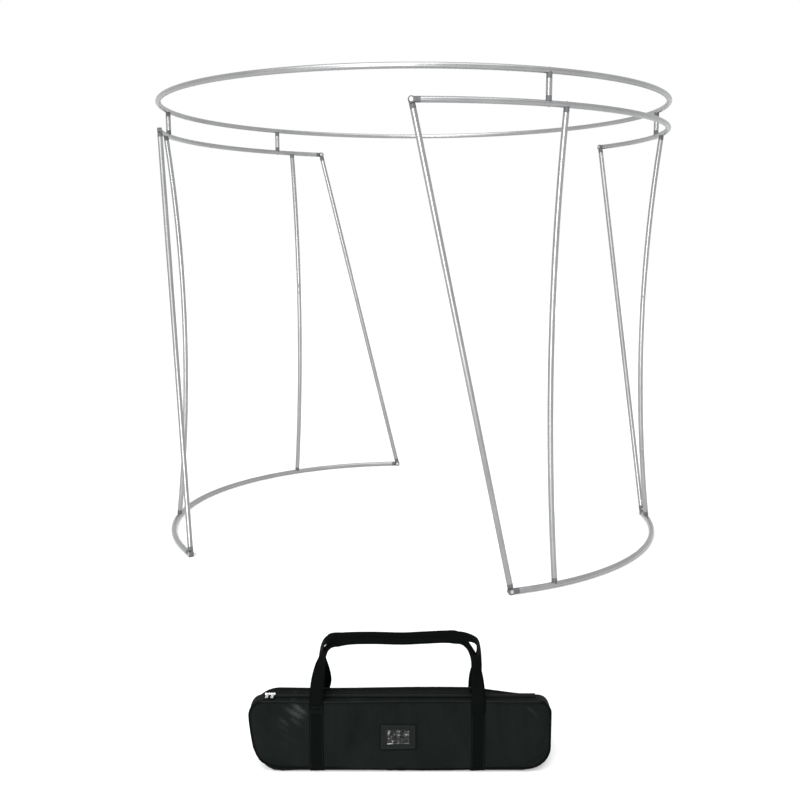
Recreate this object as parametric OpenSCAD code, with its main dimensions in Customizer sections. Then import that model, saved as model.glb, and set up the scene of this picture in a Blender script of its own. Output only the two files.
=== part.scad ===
// Circular knock-down display frame of aluminium tube, with its cloth carry bag.
// Two curved walls of tube stand opposite each other and carry a full header ring.
// The ring's axis is the Z axis, the floor is z = 0, and the bag stands in front (-Y).

/* [Ring] */
// Radius of every ring tube, at its centre line
ring_r = 1500; // [1200:10:1800]
// Height from a wall's bottom rail to its top rail, centre to centre
wall_h = 2380; // [2000:10:2600]
// Height from the top rails to the header ring, centre to centre
header_gap = 150; // [130:5:300]
// Angle of the first joint of the header ring
header_turn = 15; // [12:1:18]

/* [Left wall] */
// Angle of the top rail's back end
left_top_back = 116.3; // [112:0.1:119]
// Angle of the top rail's front end
left_top_front = 189.6; // [187:0.1:194]
// Angle of the bottom rail's back end
left_bottom_back = 93.8; // [90:0.1:100]
// Angle of the bottom rail's front end
left_bottom_front = 213; // [208:0.1:218]
// Angle of the back upright
left_upright_back = 125.4; // [125:0.1:127]
// Angle of the front upright
left_upright_front = 180.4; // [179.5:0.1:181]
// Angle of the back spacer
left_spacer_back = 130; // [129:0.1:132]
// Angle of the front spacer
left_spacer_front = 177.5; // [175:0.1:178]

/* [Right wall] */
// Angle of the top rail's front end
right_top_front = 269; // [265:0.1:273]
// Angle of the top rail's back end
right_top_back = 390.5; // [386:0.1:395]
// Angle of the bottom rail's front end
right_bottom_front = 288.7; // [285:0.1:290]
// Angle of the bottom rail's back end
right_bottom_back = 362.4; // [362:0.1:368]
// Angle of the front upright
right_upright_front = 298.5; // [297:0.1:299.5]
// Angle of the back upright
right_upright_back = 358; // [357:0.1:358.2]
// Angle of the front spacer
right_spacer_front = 294.5; // [292:0.1:295]
// Angle of the back spacer
right_spacer_back = 363; // [362:0.1:366]

/* [Tube] */
// Outside diameter of the tube
tube_od = 30; // [28:0.5:32]
// Wall of the tube
tube_wall = 1.5; // [1.2:0.1:2]
// Length of the reduced end that plugs into the next tube
spigot_len = 60; // [45:1:80]
// Length of the shoulder where a tube is reduced
shoulder_len = 3; // [2:0.5:6]
// Gap left at a closed seam between two tubes
seam_gap = 0.4; // [0.2:0.1:1]
// Radial clearance of a plug in its tube
fit_clear = 0.08; // [0.05:0.01:0.1]

/* [Posts] */
// How far an upright bows in at mid height
upright_bow = 75; // [40:1:120]
// Length of an upright from the bottom rail to its lower seam
upright_lower = 480; // [350:5:650]
// Length of an end post from the bottom corner to its lower seam
end_lower = 570; // [400:5:700]
// Length of the middle tube of every post
middle_len = 965; // [800:5:1100]

/* [Snap buttons] */
// Diameter of a snap button
button_d = 6; // [5:0.5:7]
// Height of a snap button over the tube
button_rise = 3.5; // [2.5:0.5:5]
// Distance of a snap button from its seam
button_setback = 30; // [20:1:40]
// Gap all round a snap button
button_clear = 0.3; // [0.3:0.05:0.5]
// Diameter of the button's foot inside the plug
button_foot_d = 10; // [8:0.5:11]
// Thickness of the button's foot
button_foot_t = 1.2; // [0.8:0.1:1.6]
// Gap between the foot and the top of the plug's bore
button_foot_room = 2;

/* [Fittings] */
// Length of the collar that shows on a saddle plug
collar_len = 20; // [14:1:26]
// Diameter of a saddle plug's collar
collar_d = 29; // [27:0.5:29.5]
// Length of a spacer's plug
spacer_plug = 34; // [25:1:36]
// Diameter of the two lapped hubs of a corner
hub_d = 33; // [30:0.5:33]
// Thickness of one hub
hub_t = 13; // [10:0.5:14]
// Gap between the lapped hubs
lap_gap = 0.1; // [0.05:0.05:0.3]
// Distance from a corner's pivot to the collar of its leg
collar_start = 22; // [22:0.5:26]
// Distance from a corner's pivot to the end of its tube
corner_reach = 42; // [38:1:50]
// Diameter that the neck between a hub and its collar is rounded to
neck_d = 29.4; // [26:0.2:29.6]
// Chamfer round the outer face of a hub
hub_chamfer = 1.5; // [0.5:0.1:2]
// Clearance between a saddle and the tube it sits on
saddle_clear = 0.05; // [0.02:0.01:0.2]

/* [Screws] */
// Diameter of a screw's shank
screw_d = 6; // [5:0.5:6.5]
// Diameter of a screw's head
head_d = 11; // [9:0.5:13]
// Height of a screw's head
head_h = 2; // [1.5:0.1:3]
// Diameter of the flat top of the head
head_flat_d = 8; // [7:0.5:9]
// Width of the hexagon socket in the head
socket_af = 4; // [3:0.5:5]
// Depth of the hexagon socket
socket_depth = 1.2; // [0.8:0.1:1.5]
// Length of the screw inside a plug
screw_grip = 16; // [10:1:24]
// Radial clearance of a screw in its holes
screw_clear = 0.1; // [0.05:0.05:0.3]
// Diameter of a corner pivot's low round heads
pivot_head_d = 20; // [16:0.5:21]
// Height of a corner pivot's heads
pivot_head_h = 2.4; // [1.8:0.1:3]
// Width of the hexagon socket in a corner pivot
pivot_socket_af = 6; // [4:0.5:8]

/* [Bag] */
// Length of the bag
bag_w = 1003; // [900:1:1200]
// Height of the bag
bag_h = 250; // [220:1:320]
// Depth of the bag, front to back
bag_d = 105; // [90:1:160]
// Place of the bag's middle along X
bag_x = -78; // [-300:1:300]
// Distance from the ring's axis to the front of the bag
bag_front = 3103; // [2400:1:3400]
// Thickness of the bag's cloth and foam
cloth_t = 3; // [2:0.5:5]
// Radius of the bag's top corners, seen from the front
bag_top_r = 45; // [30:1:60]
// Radius of the bottom left corner
bag_left_r = 100; // [60:1:110]
// Radius of the bottom right corner
bag_right_r = 85; // [60:1:110]
// Thickness of the stiffener board in the base
board_t = 4; // [3:0.5:8]

/* [Bag straps] */
// Width of the webbing
webbing_w = 50; // [40:1:55]
// Thickness of the webbing
webbing_t = 2.5; // [2:0.1:4]
// Place of the left band from the bag's middle
band_left = -277; // [-320:1:-200]
// Place of the right band from the bag's middle
band_right = 259; // [200:1:320]
// Height of a handle over the bag
handle_h = 220; // [160:1:260]
// Height of a handle's top stretch
handle_bar = 42; // [35:1:55]
// Inner radius of a handle's corners
handle_r = 30; // [15:1:60]
// Gap between the two handles at the top
handle_gap = 2; // [1:0.5:10]
// Gap between a handle's foot and the band that it is sewn to
handle_foot_gap = 0.3; // [0.3:0.1:1]

/* [Bag zip and card pocket] */
// Length of the zip
zip_len = 908; // [800:1:910]
// Width of the zip's tape
zip_tape_w = 30; // [20:1:40]
// Thickness of the zip's tape
zip_tape_t = 1.2; // [0.8:0.1:2]
// Width of the zip's chain
chain_w = 6; // [5:0.5:8]
// Height of the zip's chain
chain_h = 2; // [1.5:0.1:3]
// Place of the parked slider from the bag's middle
parked_x = -444; // [-446:1:-430]
// Distance from the parked slider to the running one
slider_pitch = 18; // [17:0.5:40]
// Length of a slider
slider_len = 15; // [12:0.5:16]
// Width of a slider
slider_w = 11; // [10:0.5:14]
// Wall of a slider over the chain
slider_wall = 2; // [1.5:0.1:3]
// Gap between a slider and the chain
slider_clear = 0.3; // [0.3:0.05:0.6]
// Length of a pull tab
pull_len = 34; // [25:1:36]
// Width of a pull tab
pull_w = 9; // [7:0.5:10]
// Thickness of a pull tab
pull_t = 1.6; // [1.2:0.1:2.5]
// Diameter of the pin that a pull turns on
pull_pin_d = 2; // [1.5:0.1:2.4]
// Diameter of the pull's barrel round its pin
pull_barrel_d = 3; // [2.6:0.1:3.6]
// Clearance round the pull's pin
pull_pin_clear = 0.08; // [0.05:0.01:0.1]
// Width of the card pocket
pocket_w = 103; // [80:1:130]
// Height of the card pocket
pocket_h = 83; // [60:1:100]
// Height of the card pocket's middle over the floor
pocket_z = 129; // [90:1:150]
// Thickness of the card pocket
pocket_t = 1.5; // [1:0.1:3]
// Width of the clear pane
pane_w = 72; // [50:1:76]
// Height of the clear pane
pane_h = 47; // [30:1:55]
// Thickness of the clear pane
pane_t = 0.6; // [0.4:0.1:1]

/* [Hidden] */

tube_colour = [0.78, 0.79, 0.8];
fitting_colour = [0.25, 0.26, 0.28];
steel_colour = [0.6, 0.61, 0.63];
cloth_colour = [0.08, 0.09, 0.09];
webbing_colour = [0.05, 0.05, 0.05];

// Facets of a round section, and of a full turn round the ring's axis
round_fn = 48;
turn_fn = 180;
// Extra length of a cutter past what it cuts
past = 1;

header_count = 12;
header_step = 360 / header_count;
tube_id = tube_od - 2 * tube_wall;
plug_od = tube_id - 2 * fit_clear;
plug_id = plug_od - 2 * tube_wall;
// A button's top goes just below the bore of the outer tube when it is pressed
button_travel = button_rise + tube_wall + 0.2;
button_foot_z = plug_id / 2 - button_foot_t - button_foot_room;

// The frame stands on the heads of the screws under the bottom rails
rail_z = head_h + tube_od / 2;
top_z = rail_z + wall_h;
header_z = top_z + header_gap;
saddle_end = tube_od / 2 + collar_len;

// Radius and half angle of the arc that an upright bows along
bow_r = (wall_h * wall_h / 4 + upright_bow * upright_bow) / (2 * upright_bow);
bow_half = asin(wall_h / 2 / bow_r);
bow_len = bow_r * bow_half * PI / 90;

// One entry per wall: angles of the top rail's ends and of the bottom rail's ends
walls = [[left_top_back, left_top_front, left_bottom_back, left_bottom_front],
    [right_top_front, right_top_back, right_bottom_front, right_bottom_back]];
// Seams of a rail, as shares of its length: long rails have four tubes, short ones two
long_seams = [0, 0.31, 0.5, 0.69, 1];
short_seams = [0, 0.5, 1];
// One entry per upright: its angle, and the side that its buttons face
uprights = [[left_upright_back, 1], [left_upright_front, -1],
    [right_upright_front, 1], [right_upright_back, -1]];
spacers = [left_spacer_back, left_spacer_front, right_spacer_front, right_spacer_back];
// One entry per corner: angle, height, the other end's angle and height, side of the rail
corners = [for (w = walls) for (e = [0, 1]) for (t = [0, 1])
    [w[2 * t + e], t == 0 ? top_z : rail_z, w[2 - 2 * t + e], t == 0 ? rail_z : top_z, 1 - 2 * e]];

bag_y = bag_d / 2 - bag_front;
bag_floor = webbing_t;
zip_z = bag_h - cloth_t;
slider_z = zip_z + zip_tape_t + slider_clear;
slider_top = zip_z + zip_tape_t + chain_h + slider_clear + slider_wall;
pull_z = slider_top + pull_barrel_d / 2 + slider_clear;
// A handle hangs just outside its band, and leans in until it nearly meets the other
handle_y = bag_d / 2 + 1.5 * webbing_t + handle_foot_gap;
handle_lean = asin((handle_y - webbing_t / 2 - handle_gap / 2) / handle_h);

// Angle that a length along the ring spans
function span(length) = length / ring_r * 180 / PI;
function on_ring(a, z) = [ring_r * cos(a), ring_r * sin(a), z];
function unit(v) = v / norm(v);
// Direction along the ring towards greater angles
function along(a) = [-sin(a), cos(a), 0];
// Whether angle a lies between a0 and a1
function within(a, a0, a1) = (a - a0 + 720) % 360 < a1 - a0;

// Puts its children at p, turned so that their axes are x, y and z
module place(p, x, y, z)
    multmatrix([[x[0], y[0], z[0], p[0]], [x[1], y[1], z[1], p[1]],
        [x[2], y[2], z[2], p[2]], [0, 0, 0, 1]])
        children();

// Solid rod bent round the ring's axis from a0 to a1
module ring_rod(a0, a1, z, d)
    translate([0, 0, z]) rotate([0, 0, a0])
        rotate_extrude(angle = a1 - a0, $fn = turn_fn)
            translate([ring_r, 0]) circle(d = d, $fn = round_fn);

// Solid rod along an upright's bow, from s0 to s1 above the bottom rail's centre
module bow_rod(s0, s1, d)
    translate([ring_r - upright_bow + bow_r, 0, rail_z + wall_h / 2]) rotate([90, 0, 0])
        rotate([0, 0, 180 + bow_half - s1 / bow_len * 2 * bow_half])
            rotate_extrude(angle = (s1 - s0) / bow_len * 2 * bow_half, $fn = turn_fn)
                translate([bow_r, 0]) circle(d = d, $fn = round_fn);

// Round rod from z0 to z1
module rod(z0, z1, d)
    translate([0, 0, z0]) cylinder(h = z1 - z0, d = d, $fn = round_fn);

// Places its children on the ring at angle a, with +Z up or down
module at_ring(a, z, up)
    rotate([0, 0, a]) translate([ring_r, 0, z]) rotate([up > 0 ? 0 : 180, 0, 0]) children();

// Hole for a snap button, from the tube's axis out along +Z
module button_hole()
    rod(0, tube_od, button_d + 2 * button_clear);

// Snap button: a domed pin on a round foot, standing out along +Z
module snap_button() {
    dome_r = button_d / 2;
    rod(button_foot_z, button_foot_z + button_foot_t, button_foot_d);
    rod(button_foot_z, tube_od / 2 + button_rise - dome_r, button_d);
    translate([0, 0, tube_od / 2 + button_rise - dome_r]) sphere(r = dome_r, $fn = round_fn);
}

// Screw whose head sits on z = 0 and whose shank goes down to -length
module screw(length) {
    difference() {
        cylinder(h = head_h, d1 = head_d, d2 = head_flat_d, $fn = round_fn);
        translate([0, 0, head_h - socket_depth])
            cylinder(h = head_h, d = socket_af / cos(30), $fn = 6);
    }
    rod(-length, 0, screw_d);
}

// Curved tube of a ring: open at a0, and reduced past a1 where plug is true
module ring_tube(a0, a1, z, up, plug, drilled)
    difference() {
        union() {
            ring_rod(a0, a1, z, tube_od);
            if (plug) ring_rod(a1 - span(shoulder_len), a1 + span(spigot_len), z, plug_od);
        }
        ring_rod(a0 - span(past), a1 + span(plug ? -shoulder_len : past), z, tube_id);
        if (plug)
            ring_rod(a1 - span(shoulder_len + past), a1 + span(spigot_len + past), z, plug_id);
        at_ring(a0 + span(button_setback), z, up) button_hole();
        at_ring(a1 + span(plug ? seam_gap + button_setback : -button_setback), z, up)
            button_hole();
        for (a = drilled)
            if (within(a, a0, a1))
                at_ring(a, z, 1) rod(-tube_od, tube_od, screw_d + 2 * screw_clear);
    }

// Rail of a wall from angle a0 to a1, in as many tubes as seams has gaps
module rail(a0, a1, z, up, seams) {
    first = a0 + span(corner_reach);
    length = a1 - a0 - 2 * span(corner_reach);
    last = len(seams) - 2;
    for (i = [0:last])
        ring_tube(first + length * seams[i] + (i == 0 ? 0 : span(seam_gap)),
            first + length * seams[i + 1], z, up, i < last,
            concat([for (u = uprights) u[0]], z == top_z ? spacers : []));
}

// The frame of an end post: +Z runs along it from the bottom corner, +X faces into the wall
module along_end_post(w, e) {
    p = on_ring(walls[w][2 + e], rail_z);
    q = on_ring(walls[w][e], top_z);
    z = unit(q - p);
    t = (1 - 2 * e) * along((walls[w][2 + e] + walls[w][e]) / 2);
    x = unit(t - (t * z) * z);
    place(p, x, cross(z, x), z) children();
}

function end_len(w, e) = norm(on_ring(walls[w][e], top_z) - on_ring(walls[w][2 + e], rail_z));
// Tube ends and seams along an end post, and along an upright
function end_stops(w, e) = [corner_reach, end_lower, end_lower + middle_len,
    end_len(w, e) - corner_reach];
upright_stops = [saddle_end, upright_lower, upright_lower + middle_len, bow_len - saddle_end];

// Straight tubes of an end post, each plugged down into the one below
module end_post(w, e)
    along_end_post(w, e) {
        stops = end_stops(w, e);
        for (i = [0:2]) {
            z0 = stops[i] + (i == 0 ? 0 : seam_gap);
            difference() {
                union() {
                    rod(z0, stops[i + 1], tube_od);
                    if (i > 0) rod(z0 - spigot_len, z0 + shoulder_len, plug_od);
                }
                rod(z0 + (i > 0 ? shoulder_len : -past), stops[i + 1] + past, tube_id);
                if (i > 0) rod(z0 - spigot_len - past, z0 + shoulder_len + past, plug_id);
                for (s = [stops[i + 1] - button_setback, end_button(stops, i)])
                    translate([0, 0, s]) rotate([0, 90, 0]) button_hole();
            }
        }
    }

// Place of the button by the lower end of tube i
function end_button(stops, i) = i == 0 ? stops[0] + button_setback : stops[i] - button_setback;

module end_buttons(w, e)
    color(steel_colour) along_end_post(w, e) {
        stops = end_stops(w, e);
        for (s = [end_button(stops, 0), end_button(stops, 1), end_button(stops, 2),
                stops[3] - button_setback])
            translate([0, 0, s]) rotate([0, 90, 0]) snap_button();
    }

// Places its children on upright i at length s, with +Z facing along the wall
module at_upright(i, s) {
    turn = (2 * s / bow_len - 1) * bow_half;
    rotate([0, 0, uprights[i][0]])
        translate([ring_r - upright_bow + bow_r * (1 - cos(turn)), 0,
            rail_z + wall_h / 2 + bow_r * sin(turn)])
            rotate([0, 0, 90 - 90 * uprights[i][1]]) rotate([-90, 0, 0]) children();
}

// Bowed tubes of an upright, each plugged down into the one below
module upright_post(i)
    for (k = [0:2]) {
        s0 = upright_stops[k] + (k == 0 ? 0 : seam_gap);
        s1 = upright_stops[k + 1];
        difference() {
            rotate([0, 0, uprights[i][0]])
                difference() {
                    union() {
                        bow_rod(s0, s1, tube_od);
                        if (k > 0) bow_rod(s0 - spigot_len, s0 + shoulder_len, plug_od);
                    }
                    bow_rod(s0 + (k > 0 ? shoulder_len : -past), s1 + past, tube_id);
                    if (k > 0)
                        bow_rod(s0 - spigot_len - past, s0 + shoulder_len + past, plug_id);
                }
            if (k > 0) at_upright(i, upright_stops[k] - button_setback) button_hole();
            if (k < 2) at_upright(i, s1 - button_setback) button_hole();
        }
    }

module upright_buttons(i)
    color(steel_colour)
        for (k = [1, 2]) at_upright(i, upright_stops[k] - button_setback) snap_button();

// Saddle plug between a rail at rail_at and an upright: top or bottom end
module upright_saddle(i, top) {
    a = uprights[i][0];
    z = top ? top_z : rail_z;
    up = top ? -1 : 1;
    s0 = top ? bow_len - saddle_end : 0;
    difference() {
        union() {
            at_ring(a, z, up) rotate([0, -bow_half, 0]) rod(0, saddle_end, collar_d);
            rotate([0, 0, a])
                if (top) bow_rod(s0 - spigot_len, s0 + shoulder_len, plug_od);
                else bow_rod(saddle_end - shoulder_len, saddle_end + spigot_len, plug_od);
        }
        ring_rod(a - span(tube_od), a + span(tube_od), z, tube_od + 2 * saddle_clear);
        at_ring(a, z, up) rod(0, tube_od / 2 + screw_grip + past, screw_d + 2 * screw_clear);
    }
}

// Saddle plug of a spacer, standing up or down from a tube at height z
module spacer_saddle(a, z, up)
    difference() {
        at_ring(a, z, up) {
            rod(0, saddle_end, collar_d);
            rod(saddle_end - shoulder_len, saddle_end + spacer_plug, plug_od);
        }
        ring_rod(a - span(tube_od), a + span(tube_od), z, tube_od + 2 * saddle_clear);
        at_ring(a, z, up) rod(0, tube_od / 2 + screw_grip + past, screw_d + 2 * screw_clear);
    }

// Screw through a tube at height z, with its head on the side that faces away from the plug
module saddle_screw(a, z, up)
    at_ring(a, z, -up) translate([0, 0, tube_od / 2]) screw(tube_od + screw_grip);

// The frame of corner c: +X along the rail, +Z out along the pivot
module at_corner(c) {
    p = on_ring(c[0], c[1]);
    u = unit(on_ring(c[2], c[3]) - p);
    x = c[4] * along(c[0]);
    n = unit(cross(x, u));
    out = n * [cos(c[0]), sin(c[0]), 0] > 0 ? n : -n;
    place(p, x, cross(out, x), out) children();
}

// Direction of the post seen from corner c, as an angle from the rail
function post_angle(c) =
    let (p = on_ring(c[0], c[1]), u = unit(on_ring(c[2], c[3]) - p),
        x = c[4] * along(c[0]), n = unit(cross(x, u)),
        out = n * [cos(c[0]), sin(c[0]), 0] > 0 ? n : -n)
    atan2(u * cross(out, x), u * x);

// One hub with its half-round neck, lying on z = lap_gap / 2
module hub() {
    face = lap_gap / 2 + hub_t;
    difference() {
        union() {
            rod(lap_gap / 2, face - hub_chamfer, hub_d);
            translate([0, 0, face - hub_chamfer])
                cylinder(h = hub_chamfer, d1 = hub_d, d2 = hub_d - 2 * hub_chamfer, $fn = round_fn);
            intersection() {
                rotate([0, 90, 0]) rod(0, collar_start + past, neck_d);
                translate([0, -neck_d, lap_gap / 2])
                    cube([2 * collar_start, 2 * neck_d, hub_t - hub_chamfer / 2]);
            }
        }
        rod(-past, face + past, screw_d + 2 * screw_clear);
    }
}

module corner_rail_leg(c) {
    up = c[1] == top_z ? -1 : 1;
    a = c[0] + c[4] * span(collar_start);
    b = c[0] + c[4] * span(corner_reach - shoulder_len);
    d = c[0] + c[4] * span(corner_reach);
    e = c[0] + c[4] * span(corner_reach + spigot_len);
    difference() {
        union() {
            at_corner(c) hub();
            ring_rod(min(a, d), max(a, d), c[1], tube_od);
            ring_rod(min(b, e), max(b, e), c[1], plug_od);
        }
        at_ring(c[0] + c[4] * span(corner_reach + button_setback), c[1], up) button_pocket();
    }
}

// Room for a snap button and its travel inside a solid plug
module button_pocket() {
    button_hole();
    rod(button_foot_z - button_travel - button_clear,
        button_foot_z + button_foot_t + button_clear, button_foot_d + 2 * button_clear);
}

// Leg of end post e of wall w, at its bottom or its top corner
module corner_post_leg(w, e, top) {
    c = corners[4 * w + 2 * e + (top ? 0 : 1)];
    length = end_len(w, e);
    difference() {
        union() {
            at_corner(c) mirror([0, 0, 1]) rotate([0, 0, post_angle(c)]) hub();
            along_end_post(w, e) translate([0, 0, top ? length : 0])
                mirror([0, 0, top ? 1 : 0]) {
                    rod(collar_start, corner_reach, tube_od);
                    rod(corner_reach - shoulder_len, corner_reach + spigot_len, plug_od);
                }
        }
        along_end_post(w, e)
            translate([0, 0, top ? length - corner_reach - button_setback
                : corner_reach + button_setback])
                rotate([0, 90, 0]) button_pocket();
    }
}

// Low round head on z = 0, with a sloping rim and a hexagon socket
module pivot_head()
    difference() {
        union() {
            rod(0, pivot_head_h / 2, pivot_head_d);
            translate([0, 0, pivot_head_h / 2])
                cylinder(h = pivot_head_h / 2, d1 = pivot_head_d,
                    d2 = pivot_head_d - 2 * pivot_head_h, $fn = round_fn);
        }
        translate([0, 0, pivot_head_h - socket_depth])
            cylinder(h = pivot_head_h, d = pivot_socket_af / cos(30), $fn = 6);
    }

// Pivot of a corner: a barrel screw with a head on each outer face of the lapped hubs
module corner_pivot(c)
    at_corner(c) {
        face = lap_gap / 2 + hub_t;
        rod(-face - past, face + past, screw_d);
        translate([0, 0, face]) pivot_head();
        translate([0, 0, -face]) mirror([0, 0, 1]) pivot_head();
    }

module header_tube(i) {
    a0 = header_turn + header_step * (i - 1);
    color(tube_colour)
        ring_tube(a0 + span(seam_gap), a0 + header_step, header_z, -1, true, spacers);
}

module header_saddles()
    color(fitting_colour) for (a = spacers) spacer_saddle(a, header_z, -1);

module spacer_tubes()
    color(tube_colour) for (a = spacers)
        at_ring(a, 0, 1) difference() {
            rod(top_z + saddle_end + seam_gap, header_z - saddle_end - seam_gap, tube_od);
            rod(top_z, header_z, tube_id);
        }

module header_screws()
    color(steel_colour) for (a = spacers) saddle_screw(a, header_z, -1);

module header_buttons()
    color(steel_colour) for (i = [0:header_count - 1])
        at_ring(header_turn + header_step * i + span(seam_gap + button_setback), header_z, -1)
            snap_button();

module left_top_rail()
    color(tube_colour) rail(left_top_back, left_top_front, top_z, -1, short_seams);

module left_bottom_rail()
    color(tube_colour) rail(left_bottom_back, left_bottom_front, rail_z, 1, long_seams);

module right_top_rail()
    color(tube_colour) rail(right_top_front, right_top_back, top_z, -1, long_seams);

module right_bottom_rail()
    color(tube_colour) rail(right_bottom_front, right_bottom_back, rail_z, 1, short_seams);

module left_end_post_back()
    color(tube_colour) end_post(0, 0);

module left_end_post_front()
    color(tube_colour) end_post(0, 1);

module right_end_post_front()
    color(tube_colour) end_post(1, 0);

module right_end_post_back()
    color(tube_colour) end_post(1, 1);

module left_upright_post_back()
    color(tube_colour) upright_post(0);

module left_upright_post_front()
    color(tube_colour) upright_post(1);

module right_upright_post_front()
    color(tube_colour) upright_post(2);

module right_upright_post_back()
    color(tube_colour) upright_post(3);

module corner_rail_legs()
    color(fitting_colour) for (c = corners) corner_rail_leg(c);

module corner_post_legs()
    color(fitting_colour)
        for (w = [0, 1]) for (e = [0, 1]) for (top = [false, true]) corner_post_leg(w, e, top);

module corner_pivots()
    color(steel_colour) for (c = corners) corner_pivot(c);

module upright_saddles()
    color(fitting_colour)
        for (i = [0:3]) for (top = [false, true]) upright_saddle(i, top);

module spacer_saddles()
    color(fitting_colour) for (a = spacers) spacer_saddle(a, top_z, 1);

module frame_screws()
    color(steel_colour) {
        for (u = uprights) {
            saddle_screw(u[0], rail_z, 1);
            saddle_screw(u[0], top_z, -1);
        }
        for (a = spacers) saddle_screw(a, top_z, 1);
    }

// Buttons along a rail: one beside each inner seam and one in each corner leg
module rail_buttons(a0, a1, z, up, seams) {
    first = a0 + span(corner_reach);
    length = a1 - a0 - 2 * span(corner_reach);
    for (i = [0:len(seams) - 2])
        at_ring(first + length * seams[i] + span((i == 0 ? 0 : seam_gap) + button_setback), z, up)
            snap_button();
    at_ring(first + length - span(button_setback), z, up) snap_button();
}

module top_rail_buttons()
    color(steel_colour) {
        rail_buttons(left_top_back, left_top_front, top_z, -1, short_seams);
        rail_buttons(right_top_front, right_top_back, top_z, -1, long_seams);
    }

module bottom_rail_buttons()
    color(steel_colour) {
        rail_buttons(left_bottom_back, left_bottom_front, rail_z, 1, long_seams);
        rail_buttons(right_bottom_front, right_bottom_back, rail_z, 1, short_seams);
    }

// Front outline of the bag, drawn in its own X and Z
module bag_outline(inset)
    hull() for (c = [[-1, -1, bag_left_r], [1, -1, bag_right_r],
            [-1, 1, bag_top_r], [1, 1, bag_top_r]])
        translate([c[0] * (bag_w / 2 - c[2]), c[1] > 0 ? bag_h - c[2] : bag_floor + c[2]])
            circle(r = c[2] - inset, $fn = round_fn);

// Extrudes an outline drawn in X and Z from y0 to y1 in the bag's frame
module bag_slab(y0, y1)
    translate([bag_x, bag_y + y1, 0]) rotate([90, 0, 0]) linear_extrude(height = y1 - y0)
        children();

module bag_box(x0, x1, y0, y1, z0, z1)
    translate([bag_x + x0, bag_y + y0, z0]) cube([x1 - x0, y1 - y0, z1 - z0]);

module bag_front_panel()
    color(cloth_colour) bag_slab(-bag_d / 2, cloth_t - bag_d / 2) bag_outline(0);

module bag_back_panel()
    color(cloth_colour) bag_slab(bag_d / 2 - cloth_t, bag_d / 2) bag_outline(0);

// Band of cloth all round between the panels, slit along the top for the zip
module bag_gusset()
    color(cloth_colour) difference() {
        bag_slab(cloth_t - bag_d / 2, bag_d / 2 - cloth_t) difference() {
            bag_outline(0);
            bag_outline(cloth_t);
        }
        bag_box(-zip_len / 2, zip_len / 2, -zip_tape_w / 2, zip_tape_w / 2,
            zip_z - past, bag_h + past);
    }

module bag_base_board()
    color(cloth_colour)
        bag_box(bag_left_r - bag_w / 2, bag_w / 2 - bag_right_r, cloth_t - bag_d / 2,
            bag_d / 2 - cloth_t, bag_floor + cloth_t, bag_floor + cloth_t + board_t);

// Two bands of webbing, each up the front, under the base and up the back
module bag_bands()
    color(webbing_colour) for (x = [band_left, band_right])
        difference() {
            bag_box(x - webbing_w / 2, x + webbing_w / 2, -bag_d / 2 - webbing_t,
                bag_d / 2 + webbing_t, 0, bag_h);
            bag_box(x - webbing_w, x + webbing_w, -bag_d / 2, bag_d / 2, bag_floor, bag_h + past);
        }

// One flat loop of webbing, standing on z = 0 in X and Z
module handle_outline() {
    left = band_left - webbing_w / 2;
    right = band_right + webbing_w / 2;
    corner_r = handle_r + webbing_w;
    top = handle_h;
    difference() {
        union() {
            translate([left, 0]) square([right - left, top - corner_r]);
            translate([left + corner_r, 0]) square([right - left - 2 * corner_r, top]);
            for (x = [left + corner_r, right - corner_r])
                translate([x, top - corner_r]) circle(r = corner_r, $fn = round_fn);
        }
        translate([left + webbing_w, -past])
            square([right - left - 2 * webbing_w, top - handle_bar - handle_r + past]);
        translate([left + webbing_w + handle_r, 0])
            square([right - left - 2 * (webbing_w + handle_r), top - handle_bar]);
        for (x = [left + webbing_w + handle_r, right - webbing_w - handle_r])
            translate([x, top - handle_bar - handle_r]) circle(r = handle_r, $fn = round_fn);
    }
}

// A handle leans in over the bag from the top of its bands; side is -1 in front
module handle(side)
    translate([bag_x, bag_y + side * handle_y, bag_h]) rotate([side * handle_lean, 0, 0])
        translate([0, webbing_t / 2, 0]) rotate([90, 0, 0]) linear_extrude(height = webbing_t)
            handle_outline();

module bag_handle_front()
    color(webbing_colour) handle(-1);

module bag_handle_back()
    color(webbing_colour) handle(1);

// Zip tape in the slit, with the closed chain standing on it
module zip_tape()
    color(webbing_colour) {
        bag_box(-zip_len / 2, zip_len / 2, -zip_tape_w / 2, zip_tape_w / 2,
            zip_z, zip_z + zip_tape_t);
        bag_box(-zip_len / 2, zip_len / 2, -chain_w / 2, chain_w / 2,
            zip_z, zip_z + zip_tape_t + chain_h);
    }

// Slider round the chain, with an ear each side of the pull's pin
module slider(x)
    translate([bag_x + x, bag_y, 0]) difference() {
        union() {
            translate([-slider_len / 2, -slider_w / 2, slider_z])
                cube([slider_len, slider_w, slider_top - slider_z]);
            translate([0, 0, pull_z]) rotate([0, 90, 0])
                rod(-slider_len / 2, slider_len / 2, pull_pin_d + 2 * pull_t);
            translate([-slider_len / 2, -pull_pin_d / 2 - pull_t, slider_top - past])
                cube([slider_len, pull_pin_d + 2 * pull_t, pull_z - slider_top + past]);
        }
        translate([-slider_len, -chain_w / 2 - slider_clear, 0])
            cube([2 * slider_len, chain_w + 2 * slider_clear,
                zip_z + zip_tape_t + chain_h + slider_clear]);
        translate([-pull_w / 2 - slider_clear, -slider_w, slider_top])
            cube([pull_w + 2 * slider_clear, 2 * slider_w, slider_w]);
        translate([0, 0, pull_z]) rotate([0, 90, 0])
            rod(-slider_len, slider_len, pull_pin_d + 2 * pull_pin_clear);
    }

module zip_slider_parked()
    color(steel_colour) slider(parked_x);

module zip_slider()
    color(steel_colour) slider(parked_x + slider_pitch);

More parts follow.
